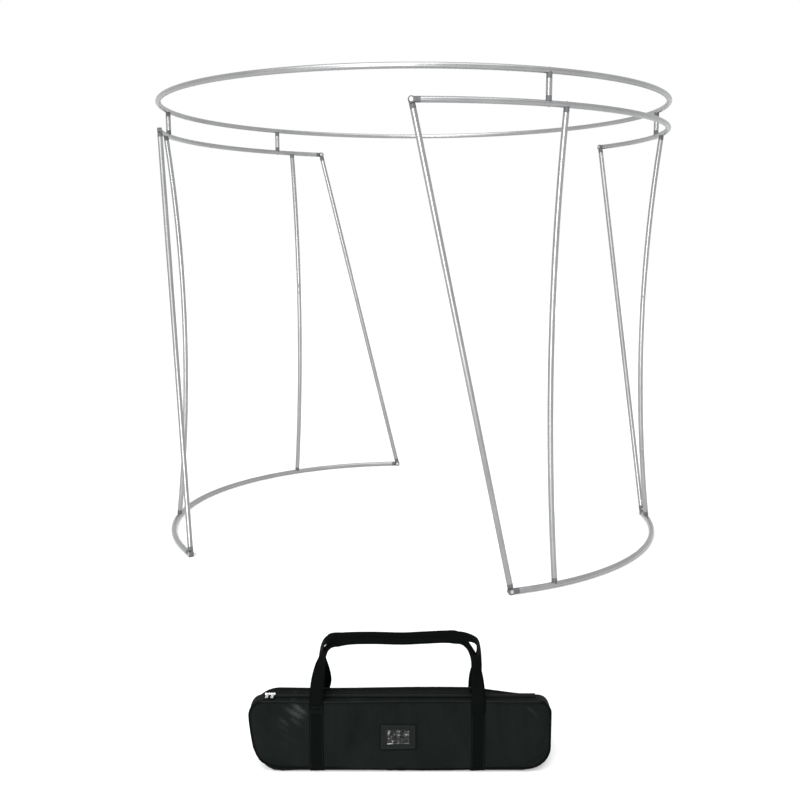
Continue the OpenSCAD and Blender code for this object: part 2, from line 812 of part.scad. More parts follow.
// Pull tab lying towards the front, with its pin ends in the slider's ears
module pull(x)
    translate([bag_x + x, bag_y, pull_z]) difference() {
        union() {
            translate([-pull_w / 2, -pull_len, -pull_t / 2]) cube([pull_w, pull_len, pull_t]);
            rotate([0, 90, 0]) rod(-pull_w / 2, pull_w / 2, pull_barrel_d);
            rotate([0, 90, 0]) rod(-slider_len / 2, slider_len / 2, pull_pin_d);
        }
        translate([0, -pull_len + pull_w / 2, 0]) rod(-pull_t, pull_t, pull_w / 3);
    }

module zip_pull_parked()
    color(steel_colour) pull(parked_x);

module zip_pull()
    color(steel_colour) pull(parked_x + slider_pitch);

module card_pocket()
    color(cloth_colour) bag_box(-pocket_w / 2, pocket_w / 2, -bag_d / 2 - pocket_t, -bag_d / 2,
        pocket_z - pocket_h / 2, pocket_z + pocket_h / 2);

module card_pane()
    color([0.75, 0.78, 0.8]) bag_box(-pane_w / 2, pane_w / 2, -bag_d / 2 - pocket_t - pane_t,
        -bag_d / 2 - pocket_t, pocket_z - pane_h / 2, pocket_z + pane_h / 2);

header_tube(1);  // header_tube_1
header_tube(2);  // header_tube_2
header_tube(3);  // header_tube_3
header_tube(4);  // header_tube_4
header_tube(5);  // header_tube_5
header_tube(6);  // header_tube_6
header_tube(7);  // header_tube_7
header_tube(8);  // header_tube_8
header_tube(9);  // header_tube_9
header_tube(10);  // header_tube_10
header_tube(11);  // header_tube_11
header_tube(12);  // header_tube_12
header_saddles();
spacer_tubes();
header_screws();
header_buttons();
left_top_rail();
left_bottom_rail();
right_top_rail();
right_bottom_rail();
left_end_post_back();
left_end_post_front();
right_end_post_front();
right_end_post_back();
left_upright_post_back();
left_upright_post_front();
right_upright_post_front();
right_upright_post_back();
corner_rail_legs();
corner_post_legs();
corner_pivots();
upright_saddles();
spacer_saddles();
frame_screws();
top_rail_buttons();
bottom_rail_buttons();
end_buttons(0, 0);  // left_end_buttons_back
end_buttons(0, 1);  // left_end_buttons_front
end_buttons(1, 0);  // right_end_buttons_front
end_buttons(1, 1);  // right_end_buttons_back
upright_buttons(0);  // left_upright_buttons_back
upright_buttons(1);  // left_upright_buttons_front
upright_buttons(2);  // right_upright_buttons_front
upright_buttons(3);  // right_upright_buttons_back
bag_front_panel();
bag_back_panel();
bag_gusset();
bag_base_board();
bag_bands();
bag_handle_front();
bag_handle_back();
zip_tape();
zip_slider_parked();
zip_slider();
zip_pull_parked();
zip_pull();
card_pocket();
card_pane();
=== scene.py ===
# Round knock-down display frame of plug-in aluminium tube, with its zipped carry bag.
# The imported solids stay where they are; surfaces and soft goods are fitted round them.
# Lengths are in metres, and places on the bag are measured from the middle of its base.
import math

import bmesh
import bpy
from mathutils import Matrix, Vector, noise
from mathutils.bvhtree import BVHTree
from mathutils.kdtree import KDTree


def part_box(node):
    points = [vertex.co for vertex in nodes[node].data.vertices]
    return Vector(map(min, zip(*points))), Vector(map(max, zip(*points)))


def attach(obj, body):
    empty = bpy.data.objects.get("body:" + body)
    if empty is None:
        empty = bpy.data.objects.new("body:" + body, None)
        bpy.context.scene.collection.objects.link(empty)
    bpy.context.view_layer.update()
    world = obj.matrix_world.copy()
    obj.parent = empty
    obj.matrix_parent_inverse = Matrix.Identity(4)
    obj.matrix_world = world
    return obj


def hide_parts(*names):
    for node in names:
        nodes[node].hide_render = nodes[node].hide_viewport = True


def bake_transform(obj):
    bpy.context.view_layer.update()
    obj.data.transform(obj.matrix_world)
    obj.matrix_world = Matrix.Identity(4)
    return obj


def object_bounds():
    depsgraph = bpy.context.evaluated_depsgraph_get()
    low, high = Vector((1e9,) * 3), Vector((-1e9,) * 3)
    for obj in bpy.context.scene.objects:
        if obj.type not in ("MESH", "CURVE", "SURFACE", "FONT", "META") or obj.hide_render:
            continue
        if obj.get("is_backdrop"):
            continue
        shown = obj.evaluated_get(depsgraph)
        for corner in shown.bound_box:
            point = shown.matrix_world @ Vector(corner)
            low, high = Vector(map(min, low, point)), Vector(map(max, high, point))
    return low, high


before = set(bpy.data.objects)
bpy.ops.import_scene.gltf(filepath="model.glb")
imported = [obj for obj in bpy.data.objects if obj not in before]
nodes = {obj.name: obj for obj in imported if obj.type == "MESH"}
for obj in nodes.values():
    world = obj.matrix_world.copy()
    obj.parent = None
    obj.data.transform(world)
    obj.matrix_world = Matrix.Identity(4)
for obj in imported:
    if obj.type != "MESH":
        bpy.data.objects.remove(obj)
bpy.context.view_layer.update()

# ------------------------------------------------------------------ camera
# A standing person's view from some three metres before the bag, square on to it
# and looking a little down, so that ring and bag both stand in the picture.
eye = (-0.078, -6.150, 1.744)
look_down = 80.965
lens_mm = 44.19
camera = bpy.data.objects.new("camera", bpy.data.cameras.new("camera"))
camera.location = eye
camera.rotation_euler = (math.radians(look_down), 0.0, 0.0)
camera.data.sensor_width = 36.0
camera.data.lens = lens_mm
bpy.context.collection.objects.link(camera)
bpy.context.scene.camera = camera


# ------------------------------------------------------------------ studio
# A white floor that runs out into a white surround, under a wide soft key from
# the front left, one overhead, a standing softbox in front and an even ambient.
class Field:
    """One socket that carries a value, colour or vector over a surface."""

    def __init__(self, socket):
        self.socket = socket

    def node(self, kind, settings=None, values=None, out=0):
        """Adds a node: its settings first, then values or links of its sockets."""
        tree = self.socket.id_data
        made = tree.nodes.new(kind)
        for key, value in (settings or {}).items():
            if key == "stops":
                ramp = made.color_ramp.elements
                while len(ramp) < len(value):
                    ramp.new(0.5)
                for stop, (place, shade) in zip(ramp, value):
                    stop.position = place
                    stop.color = (shade, shade, shade, 1.0)
            else:
                setattr(made, key, value)
        for key, value in (values or {}).items():
            if isinstance(value, Field):
                tree.links.new(value.socket, made.inputs[key])
            else:
                made.inputs[key].default_value = value
        return Field(made.outputs[out])

    def maths(self, operation, a, b=0.0):
        return self.node("ShaderNodeMath", {"operation": operation}, {0: a, 1: b})

    def __add__(self, other):
        return self.maths("ADD", self, other)

    __radd__ = __add__

    def __sub__(self, other):
        return self.maths("SUBTRACT", self, other)

    def __rsub__(self, other):
        return self.maths("SUBTRACT", other, self)

    def __mul__(self, other):
        return self.maths("MULTIPLY", self, other)

    __rmul__ = __mul__

    def wave(self, pitch):
        """A sine of this field, one turn to each pitch."""
        return self.maths("SINE", self * (2.0 * math.pi / pitch))

    def noise(self, size, detail=2.0, stretch=(1.0, 1.0, 1.0)):
        """Smooth cloudy noise from 0 to 1, its lumps about this size."""
        spread = self.node("ShaderNodeVectorMath", {"operation": "MULTIPLY"},
                           {0: self, 1: tuple(s / size for s in stretch)})
        return spread.node("ShaderNodeTexNoise", {},
                           {"Vector": spread, "Scale": 1.0, "Detail": detail})

    def part(self, index):
        """One axis of this vector."""
        return self.node("ShaderNodeSeparateXYZ", {}, {0: self}, index)

    def tint(self, low, high):
        """A colour that runs from low to high as this value goes from 0 to 1."""
        return self.node("ShaderNodeMix", {"data_type": "RGBA"},
                         {0: self, 6: (*low, 1.0), 7: (*high, 1.0)}, 2)

    def toward(self, amount, colour):
        """This colour, turned by an amount from 0 to 1 toward a fixed one."""
        return self.node("ShaderNodeMix", {"data_type": "RGBA"},
                         {0: amount, 6: self, 7: (*colour, 1.0)}, 2)

    def relief(self, height, strength=1.0):
        """A surface normal raised by this value times a height."""
        return self.node("ShaderNodeBump", {},
                         {"Height": self, "Distance": height, "Strength": strength})


def finish(name, constants, source="Object"):
    """A material and the coordinates its pattern reads."""
    material = bpy.data.materials.new(name)
    material.use_nodes = True
    shader = material.node_tree.nodes["Principled BSDF"]
    for key, value in constants.items():
        shader.inputs[key].default_value = value
    coords = material.node_tree.nodes.new("ShaderNodeTexCoord")
    return material, Field(coords.outputs[source])


def feed(material, **fields):
    """Links varying fields to the material's shader."""
    shader = material.node_tree.nodes["Principled BSDF"]
    for key, field in fields.items():
        material.node_tree.links.new(field.socket, shader.inputs[key.replace("_", " ")])
    return material


floor_span = 60.0
floor_drop = 0.0006
floor_shade = (0.86, 0.86, 0.86, 1.0)
floor_lift = 0.20
ambient = 0.40
keys = [("key_lamp", (44.0, -8.0, -18.0), 1.25, 46.0),
        ("top_lamp", (20.0, 0.0, 0.0), 1.5, 64.0)]
softbox = {"place": (-2.2, -9.0, 1.9), "size": (2.4, 3.6), "watts": 430.0}

floor_material = bpy.data.materials.new("studio_floor")
floor_material.use_nodes = True
tree = floor_material.node_tree
tree.nodes.clear()
seen = tree.nodes.new("ShaderNodeLightPath")
direct = (Field(seen.outputs["Is Camera Ray"]) + Field(seen.outputs["Is Glossy Ray"])
          + Field(seen.outputs["Is Transmission Ray"]))
matt = direct.node("ShaderNodeBsdfDiffuse", {}, {"Color": floor_shade})
lift = direct.node("ShaderNodeEmission", {},
                   {"Color": (1.0, 1.0, 1.0, 1.0), "Strength": direct * floor_lift})
both = direct.node("ShaderNodeAddShader", {}, {0: matt, 1: lift})
surface = tree.nodes.new("ShaderNodeOutputMaterial")
tree.links.new(both.socket, surface.inputs["Surface"])

bm = bmesh.new()
bmesh.ops.create_circle(bm, cap_ends=True, segments=64, radius=floor_span)
bmesh.ops.translate(bm, vec=(0.0, 0.0, -floor_drop), verts=bm.verts)
floor_mesh = bpy.data.meshes.new("studio_floor")
bm.to_mesh(floor_mesh)
bm.free()
floor_mesh.materials.append(floor_material)
floor = bpy.data.objects.new("studio_floor", floor_mesh)
bpy.context.collection.objects.link(floor)
floor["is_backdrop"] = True

world = bpy.data.worlds.new("studio_surround")
bpy.context.scene.world = world
world.use_nodes = True
tree = world.node_tree
sky = tree.nodes["Background"]
sky.inputs["Color"].default_value = (1.0, 1.0, 1.0, 1.0)
seen = tree.nodes.new("ShaderNodeLightPath")
direct = (Field(seen.outputs["Is Camera Ray"]) + Field(seen.outputs["Is Glossy Ray"])
          + Field(seen.outputs["Is Transmission Ray"]))
tree.links.new((ambient + direct.maths("MINIMUM", direct, 1.0) * (1.0 - ambient)).socket,
               sky.inputs["Strength"])

for name, turn, power, spread in keys:
    lamp = bpy.data.objects.new(name, bpy.data.lights.new(name, "SUN"))
    lamp.data.energy = power
    lamp.data.angle = math.radians(spread)
    lamp.rotation_euler = [math.radians(a) for a in turn]
    bpy.context.collection.objects.link(lamp)
front = bpy.data.objects.new("front_softbox", bpy.data.lights.new("front_softbox", "AREA"))
front.data.shape = "RECTANGLE"
front.data.size, front.data.size_y = softbox["size"]
front.data.energy = softbox["watts"]
front.location = softbox["place"]
front.rotation_euler = (Vector((0.0, -0.5, 1.3)) - front.location).to_track_quat("-Z", "Y").to_euler()
front.visible_camera = False
bpy.context.collection.objects.link(front)

bpy.context.scene.view_settings.view_transform = "Standard"

# ------------------------------------------------------------------ aluminium tubes
# Round tube, drawn, bent to the ring's curve where it runs round it, and satin
# anodised. Drawing leaves faint lines along it, and handling leaves duller patches.
satin, place = finish("satin_anodised_tube", {"Metallic": 1.0})
dull = place.noise(0.19, 3.0)
drawn = place.noise(0.0016, 2.0, (1.0, 1.0, 0.03))
rubbed = place.noise(0.035, 4.0)
feed(satin,
     Base_Color=(dull * 0.7 + rubbed * 0.3).tint((0.24, 0.243, 0.247), (0.39, 0.392, 0.395)),
     Roughness=0.25 + dull * 0.10 + rubbed * 0.06,
     Normal=drawn.relief(0.00004))

tube_nodes = ["header_tube_%d" % n for n in range(1, 13)] + ["spacer_tubes"]
for wall in ("left", "right"):
    tube_nodes += [wall + "_top_rail", wall + "_bottom_rail"]
    tube_nodes += ["%s_%s_post_%s" % (wall, kind, where)
                   for kind in ("end", "upright") for where in ("front", "back")]


def dress(names, material):
    """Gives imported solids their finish."""
    for name in names:
        mesh = nodes[name].data
        mesh.materials.clear()
        mesh.materials.append(material)


dress(tube_nodes, satin)

# ------------------------------------------------------------------ fittings
# Corner knuckles and saddles, moulded in dark grey glass-filled nylon with a fine
# spark-eroded grain that is polished where tubes slide over them.
nylon, place = finish("grey_nylon_fitting", {"Specular IOR Level": 0.45})
grain = place.noise(0.0009, 2.0)
cloud = place.noise(0.02, 3.0)
feed(nylon,
     Base_Color=cloud.tint((0.070, 0.073, 0.078), (0.120, 0.123, 0.130)),
     Roughness=0.42 + grain * 0.16 + cloud * 0.06,
     Normal=grain.relief(0.00012, 0.6))
dress(["header_saddles", "spacer_saddles", "upright_saddles", "corner_rail_legs",
       "corner_post_legs"], nylon)

# ------------------------------------------------------------------ screws and buttons
# Zinc-plated button-head screws and pivots, and tumbled steel snap buttons that
# brighten on the crown where thumbs and tube holes rub them.
plated, place = finish("zinc_plated_screw", {"Metallic": 1.0})
swirl = place.noise(0.004, 3.0)
feed(plated, Base_Color=swirl.tint((0.40, 0.41, 0.42), (0.58, 0.585, 0.58)),
     Roughness=0.24 + swirl * 0.2)
dress(["header_screws", "frame_screws", "corner_pivots"], plated)

tumbled, place = finish("tumbled_steel_button", {"Metallic": 1.0})
wear = place.noise(0.0035, 3.0)
feed(tumbled, Base_Color=wear.tint((0.46, 0.46, 0.465), (0.66, 0.66, 0.66)),
     Roughness=0.22 + wear * 0.22, Normal=wear.relief(0.00005))
dress([name for name in nodes if name.endswith("buttons") or "_buttons_" in name], tumbled)

# ------------------------------------------------------------------ bag shell
# Two long panels and a gusset of coated black oxford cloth, sewn inside out and
# turned. It is empty, so the ends slacken and the top sinks along the zip.
base_low, base_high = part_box("bag_gusset")
bag_mid = Vector(((base_low[0] + base_high[0]) / 2, (base_low[1] + base_high[1]) / 2, 0.0))
bag_w, bag_d, bag_h = 1.003, 0.105, 0.250
corner_radii = {(-1, 1): 0.048, (1, 1): 0.046, (-1, -1): 0.100, (1, -1): 0.085}
back_corner = {-1: 0.095, 1: 0.075}
end_from = 0.25      # distance from the middle at which the ends begin to slacken
end_draw = 0.016     # how far the left end draws in above the base
back_slope = 0.135   # fall of the back edge toward the right end
right_rise = 0.007   # lift of the base at the right end
middle_dent = 0.0025
side_sway = 0.004
seam_lift = 0.0105   # height of the lower seam over the floor, and its slant
seam_slant = 0.0115
seam_reach = 0.006   # cloth this near a seam is held by it
zip_reach = 0.017    # and so is cloth this near the zip
zip_sag = 0.0048
shoulder_z = 0.225   # height above which the top counts as such
cloth_voxel = 0.0075
slack_cap = 0.007
under_z = 0.0024     # the bands pass under the base, which clears the floor by that
pocket_low, pocket_high = [Vector(corner) - bag_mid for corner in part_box("card_pocket")]
hem_left = 0.012     # the sewn patch runs on past the solid pocket to the left
pocket_low.x -= hem_left
face_painted_shade_width = 0.008   # width of the painted shade line beside a seam, on a panel and the gusset
gusset_painted_shade_width = 0.012
# Creases on the panels: place along and up, width, height and depth.
creases = [(-0.332, 0.222, 0.026, 0.024, 0.0060), (-0.368, 0.165, 0.035, 0.060, 0.0035),
           (0.455, 0.222, 0.028, 0.020, 0.0060)]


def ease(t):
    """0 to 1, smooth at both ends."""
    t = min(1.0, max(0.0, t))
    return t * t * (3.0 - 2.0 * t)


def arc_drop(x, radius):
    """How far a rounded corner of this radius lies below the top at x."""
    into = min(radius, max(0.0, abs(x) - (bag_w / 2 - radius)))
    return radius - math.sqrt(max(0.0, radius ** 2 - into ** 2))


def slump(point):
    """Moves a point of the crisp bag to where the slack bag lies."""
    x, y, z = point
    low = 1.0 - z / bag_h
    end = -1 if x < 0 else 1
    dip = arc_drop(x, back_corner[end]) - arc_drop(x, corner_radii[end, 1])
    dip += back_slope * max(0.0, x - end_from)
    x += end_draw * ease((-x - end_from) / 0.25) * ease((0.205 - z) / 0.17)
    z -= dip * ease((y - 0.010) / 0.042) * ease((z - 0.10) / 0.12)
    z += right_rise * ease((x - 0.05) / 0.4) * low
    z += middle_dent * math.exp(-((x + 0.010) / 0.010) ** 2) * ease(low * 5.0 - 4.0)
    y += side_sway * math.sin(x * 9.0 + 0.6) * ease(z / 0.10) * ease((0.5 - abs(x)) / 0.2)
    return Vector((x, y, z))


def seam_line(point):
    """Raises a point of the side profile to the seam, which runs above the floor."""
    x, y, z = point
    return Vector((x, y, z + (seam_lift - seam_slant * x) * ease(1.0 - z / 0.05)))


def sag(x, y, z):
    """How far the top sinks here, most along the zip."""
    across = 1.0 - (2 * y / bag_d) ** 2
    return zip_sag * ease((z - shoulder_z) / 0.02) * across * ease((0.5 - abs(x)) / 0.05)


def crisp_bag(grow=0.0):
    """The bag's block with its four rounded corners, before it slackens."""
    bm = bmesh.new()
    bmesh.ops.create_cube(bm, size=1.0)
    bmesh.ops.scale(bm, vec=(bag_w + 2 * grow, bag_d + 2 * grow, bag_h + 2 * grow),
                    verts=bm.verts)
    bmesh.ops.translate(bm, vec=(0.0, 0.0, bag_h / 2), verts=bm.verts)
    for (side, level), radius in corner_radii.items():
        x, z = side * (bag_w / 2 + grow), bag_h / 2 + level * (bag_h / 2 + grow)
        corner = [e for e in bm.edges
                  if all(abs(v.co.x - x) < 1e-5 and abs(v.co.z - z) < 1e-5 for v in e.verts)]
        bmesh.ops.bevel(bm, geom=corner, offset=radius, offset_type="OFFSET",
                        segments=12, profile=0.5, affect="EDGES", material=-1)
    return bm


def outline(y, spacing=0.006):
    """Points round the bag's side profile at depth y, evenly spaced."""
    bm = crisp_bag()
    face = min(bm.faces, key=lambda f: f.normal.y)
    corners = [Vector((v.co.x, y, v.co.z)) for v in face.verts]
    bm.free()
    points = []
    for a, b in zip(corners, corners[1:] + corners[:1]):
        steps = max(1, round((b - a).length / spacing))
        points += [a.lerp(b, n / steps) for n in range(steps)]
    return points


def add_piece(name, source, material, smooth=True):
    """Makes a named piece from a bmesh that is measured from the bag's base."""
    bmesh.ops.translate(source, vec=bag_mid, verts=source.verts)
    mesh = bpy.data.meshes.new(name)
    source.to_mesh(mesh)
    source.free()
    mesh.materials.append(material)
    for polygon in mesh.polygons:
        polygon.use_smooth = smooth
    piece = bpy.data.objects.new(name, mesh)
    bpy.context.collection.objects.link(piece)
    return piece


def settle(piece):
    """Replaces a piece's mesh with what its modifiers make."""
    graph = bpy.context.evaluated_depsgraph_get()
    mesh = bpy.data.meshes.new_from_object(piece.evaluated_get(graph))
    piece.modifiers.clear()
    piece.data = mesh


def cloth_map(piece):
    """Lays the weave flat on each side of a piece, in metres."""
    mesh = piece.data
    layer = mesh.uv_layers.new(name="weave") if not mesh.uv_layers else mesh.uv_layers[0]
    for polygon in mesh.polygons:
        facing = [abs(c) for c in polygon.normal]
        across, up = [(1, 2), (0, 2), (0, 1)][facing.index(max(facing))]
        for loop in polygon.loop_indices:
            co = mesh.vertices[mesh.loops[loop].vertex_index].co
            layer.data[loop].uv = (co[across], co[up])


def coated_cloth(name, low, high):
    """Plain-woven oxford with a matt coating. Painted shade turns it near black along seams, and
    painted sheen with scuffing turns it paler on creases.
    """
    cloth, place = finish(name, {"Specular IOR Level": 0.05}, "UV")
    thread = 0.0011
    weave = place.part(0).wave(thread) * place.part(1).wave(thread)
    slub = place.noise(0.0045, 3.0)
    bloom = place.noise(0.09, 4.0, (1.0, 0.5, 1.0))
    seam = place.node("ShaderNodeAttribute", {"attribute_name": "seam"}, out=2)
    scuff = place.node("ShaderNodeAttribute", {"attribute_name": "scuff"}, out=2)
    return feed(cloth,
                Base_Color=(bloom * 1.5 - 0.45 + slub * 0.4).tint(low, high)
                # Painted sheen with scuffing: paler on the creases.
                .toward(scuff * slub, (0.045, 0.052, 0.050))
                # Painted shade: near black beside the seams and round the card pocket.
                .toward(seam, (0.0006, 0.0008, 0.0007)),
                Roughness=0.62 + slub * 0.12 - weave * 0.05,
                Normal=(weave + slub * 0.8).relief(0.00022, 0.7))


oxford = coated_cloth("coated_oxford_cloth", (0.0016, 0.0026, 0.0024), (0.0054, 0.0074, 0.0070))
pocket_cloth = coated_cloth("pocket_oxford_cloth", (0.0050, 0.0062, 0.0060),
                            (0.0094, 0.0112, 0.0107))

bm = crisp_bag(0.0006)
for axis, cuts in ((0, [n * 0.04 for n in range(-12, 13)]),
                   (1, [n * 0.018 for n in range(-2, 3)])):
    for cut in cuts:
        place_at = [0.0, 0.0, 0.0]
        place_at[axis] = cut
        bmesh.ops.bisect_plane(bm, geom=bm.verts[:] + bm.edges[:] + bm.faces[:],
                               plane_co=place_at, plane_no=[float(n == axis) for n in range(3)])
shell = add_piece("bag_shell", bm, oxford)
remesh = shell.modifiers.new("even_mesh", "REMESH")
remesh.mode = "VOXEL"
remesh.voxel_size = cloth_voxel
settle(shell)
shell.data.materials.clear()
shell.data.materials.append(oxford)

rim_points = [seam_line(p) for p in outline(0.0)]
rim_tree = KDTree(len(rim_points))
for n, point in enumerate(rim_points):
    rim_tree.insert(point, n)
rim_tree.balance()
held = shell.vertex_groups.new(name="sewn")
seam_painted_shades = []
for vertex in shell.data.vertices:
    local = vertex.co - bag_mid
    edge = bag_d / 2 - abs(local.y)
    near = rim_tree.find(Vector((local.x, 0.0, local.z)))[2]
    along_seam = near < seam_reach and edge < seam_reach
    beside = max(pocket_low.x - local.x, local.x - pocket_high.x,
                 pocket_low.z - local.z, local.z - pocket_high.z)
    # Painted shade: the front panel is darkened in a narrow line round the card pocket's edge.
    pocket_edge_painted_shade = 0.8 * ease((0.0065 - abs(beside)) / 0.004) if local.y < 0 and edge < 0.003 else 0.0
    # Painted shade: the cloth is darkened beside each seam, on a panel and on the gusset.
    seam_painted_shades.append(max(pocket_edge_painted_shade, min(ease((face_painted_shade_width - near) / 0.005),
                                      ease((gusset_painted_shade_width - edge) / 0.005))))
    zip_strip = abs(local.y) < zip_reach and local.z > 0.2
    local.z -= max(0.0, sag(*local))
    vertex.co = slump(local) + bag_mid
    held.add([vertex.index], 1.0 if along_seam or zip_strip else 0.0, "REPLACE")
# The painted seam shade is kept on the points for the cloth's colour.
shell.data.attributes.new("seam", "FLOAT", "POINT").data.foreach_set("value", seam_painted_shades)

rest = [v.co.copy() for v in shell.data.vertices]
cloth = shell.modifiers.new("slack", "CLOTH")
cloth.settings.quality = 6
cloth.settings.mass = 0.25
cloth.settings.tension_stiffness = 12.0
cloth.settings.compression_stiffness = 12.0
cloth.settings.bending_stiffness = 0.4
cloth.settings.shrink_min = -0.012
cloth.settings.use_pressure = True
cloth.settings.uniform_pressure_force = 0.9
cloth.settings.vertex_group_mass = "sewn"
cloth.settings.effector_weights.gravity = 0.25
cloth.collision_settings.use_collision = False
for step in range(1, 25):
    bpy.context.scene.frame_set(step)
graph = bpy.context.evaluated_depsgraph_get()
slack = shell.evaluated_get(graph).to_mesh()
moved = [v.co.copy() for v in slack.vertices]
shell.evaluated_get(graph).to_mesh_clear()
shell.modifiers.clear()
bpy.context.scene.frame_set(1)
for vertex, old, new in zip(shell.data.vertices, rest, moved):
    shift = new - old
    if shift.length > slack_cap:
        shift *= slack_cap / shift.length
    vertex.co = old + shift

crease_scuff_and_sheen_list = []
for vertex in shell.data.vertices:
    local = vertex.co - bag_mid
    face_on = ease((abs(local.y) - 0.040) / 0.012)
    inside = ease(min(bag_w / 2 - abs(local.x), local.z, bag_h - local.z) / 0.06)
    folds = noise.noise(Vector((local.x * 9.0, 3.0 * local.y, local.z * 3.0)))
    pucker = noise.noise(Vector((local.x * 30.0, 7.0, local.z * 8.0)))
    crease = noise.noise(Vector((local.x * 42.0 + local.z * 55.0, 1.0, local.z * 12.0)))
    gather = sum(deep * math.exp(-((local.x - x) / wide) ** 2 - ((local.z - z) / high) ** 2)
                 for x, z, wide, high, deep in creases)
    push = face_on * inside * (0.0024 * folds + 0.0009 * pucker + gather * crease)
    vertex.co.y += math.copysign(push, local.y)
    vertex.co.z = max(vertex.co.z, under_z)
    # Painted sheen with scuffing: a mask that is high on the creases, where the cloth is turned
    # paler.
    crease_scuff_and_sheen_list.append(ease(gather / 0.005) * ease(crease * 3.0))
shell.data.attributes.new("scuff", "FLOAT", "POINT").data.foreach_set("value", crease_scuff_and_sheen_list)
smooth = shell.modifiers.new("rounded", "SUBSURF")
smooth.levels = smooth.render_levels = 1
settle(shell)
for polygon in shell.data.polygons:
    polygon.use_smooth = True
cloth_map(shell)
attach(shell, "bag")
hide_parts("bag_front_panel", "bag_back_panel", "bag_gusset")


def surface_of(piece):
    """A piece's surface, to find where other pieces lie on it."""
    return BVHTree.FromPolygons([v.co - bag_mid for v in piece.data.vertices],
                                [p.vertices for p in piece.data.polygons])


shell_tree = surface_of(shell)

board, place = finish("black_fibre_board", {})
fibre = place.noise(0.002, 4.0)
feed(board, Base_Color=fibre.tint((0.006, 0.006, 0.006), (0.014, 0.0135, 0.013)),
     Roughness=0.75 + fibre * 0.15)
dress(["bag_base_board"], board)

# ------------------------------------------------------------------ bag piping
# A welt of cord wrapped in bias cloth, caught in each long seam, and a fold of the
# gusset top-stitched down beside it.
piping_r = 0.0026
fold_r = 0.0011
fold_in = 0.0135

binding, place = finish("bias_binding", {"Specular IOR Level": 0.03})
# Painted highlight: the welt is turned paler along the top of the bag, in the last few millimetres,
# where its crown catches the light.
crown_painted_highlight = (place.part(2) - (bag_h - 0.002)) * 400.0
nap = place.noise(0.002, 3.0)
feed(binding,
     Base_Color=nap.tint((0.0010, 0.0012, 0.0011), (0.0024, 0.0030, 0.0028))
     .toward(crown_painted_highlight * 0.8, (0.0160, 0.0185, 0.0180)),
     Roughness=0.62 + nap * 0.2, Normal=nap.relief(0.0002, 0.6))


def cord_of(name, points, radius, material, body):
    """A closed round cord through points measured from the bag's base."""
    curve = bpy.data.curves.new(name, "CURVE")
    curve.dimensions = "3D"
    curve.bevel_depth = radius
    curve.bevel_resolution = 2
    line = curve.splines.new("POLY")
    line.points.add(len(points) - 1)
    for spot, co in zip(line.points, points):
        spot.co = (*(co + bag_mid), 1.0)
    line.use_cyclic_u = True
    source = bpy.data.objects.new(name + "_path", curve)
    bpy.context.collection.objects.link(source)
    graph = bpy.context.evaluated_depsgraph_get()
    mesh = bpy.data.meshes.new_from_object(source.evaluated_get(graph))
    bpy.data.objects.remove(source)
    mesh.name = name
    mesh.materials.clear()
    mesh.materials.append(material)
    piece = bpy.data.objects.new(name, mesh)
    bpy.context.collection.objects.link(piece)
    for polygon in mesh.polygons:
        polygon.use_smooth = True
    cloth_map(piece)
    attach(piece, body)
    return piece


for label, side in (("front", -1), ("back", 1)):
    rim = []
    for p in outline(side * bag_d / 2):
        crisp = slump(seam_line(p))
        on_cloth = shell_tree.find_nearest(crisp)[0]
        out = crisp - on_cloth
        rim.append(on_cloth + out.normalized() * min(out.length, piping_r * 0.6))
    cord_of("bag_piping_" + label, rim, piping_r, binding, "bag")
    fold = []
    for p in outline(side * (bag_d / 2 - fold_in)):
        hit = shell_tree.find_nearest(slump((p.x, p.y, p.z - sag(*p))))
        fold.append(hit[0] + hit[1] * (fold_r * 0.3))
    cord_of("gusset_fold_" + label, fold, fold_r, oxford, "bag")

# ------------------------------------------------------------------ webbing straps
# Two straps of woven polypropylene webbing. Each runs up the panel, makes the hand
# loop and comes down again, and both pass under the base; they twist at the bends.
webbing_w = 0.046
webbing_t = 0.0024
webbing_run = 0.95   # length of one hand loop
bar_pinch = 0.005    # the loop is that much narrower along its top
solid_webbing_t = 0.0025
strap_clear = 0.0003
grip_gap = 0.0022    # distance of each loop's grip from the bag's middle plane
foot_y = bag_d / 2 + 1.5 * solid_webbing_t + strap_clear
band_places = (-0.277, 0.259)
band_low = 0.006
grip_top = 0.199
lean = math.asin((foot_y - grip_gap) / grip_top)

webbing, place = finish("black_webbing", {"Specular IOR Level": 0.02}, "UV")
ribs = place.part(1).wave(0.0016)
twill = (place.part(0) + place.part(1)).wave(0.0032)
lint = place.noise(0.003, 3.0)
feed(webbing,
     Base_Color=lint.tint((0.0008, 0.0012, 0.0011), (0.0025, 0.0033, 0.0031)),
     Roughness=0.66 + twill * 0.06 + lint * 0.1,
     Normal=(ribs * 0.7 + twill * 0.5).relief(0.0003, 0.8))


def spline(stops, t):
    """A smooth value at t along stops of (t, value)."""
    for n in range(len(stops) - 1):
        if t <= stops[n + 1][0] or n == len(stops) - 2:
            before = stops[max(0, n - 1)]
            a, b = stops[n], stops[n + 1]
            after = stops[min(len(stops) - 1, n + 2)]
            s = (t - a[0]) / (b[0] - a[0])
            rise_a = (b[1] - before[1]) / (b[0] - before[0]) * (b[0] - a[0])
            rise_b = (after[1] - a[1]) / (after[0] - a[0]) * (b[0] - a[0])
            return ((2 * s ** 3 - 3 * s ** 2 + 1) * a[1] + (s ** 3 - 2 * s ** 2 + s) * rise_a
                    + (3 * s ** 2 - 2 * s ** 3) * b[1] + (s ** 3 - s ** 2) * rise_b)


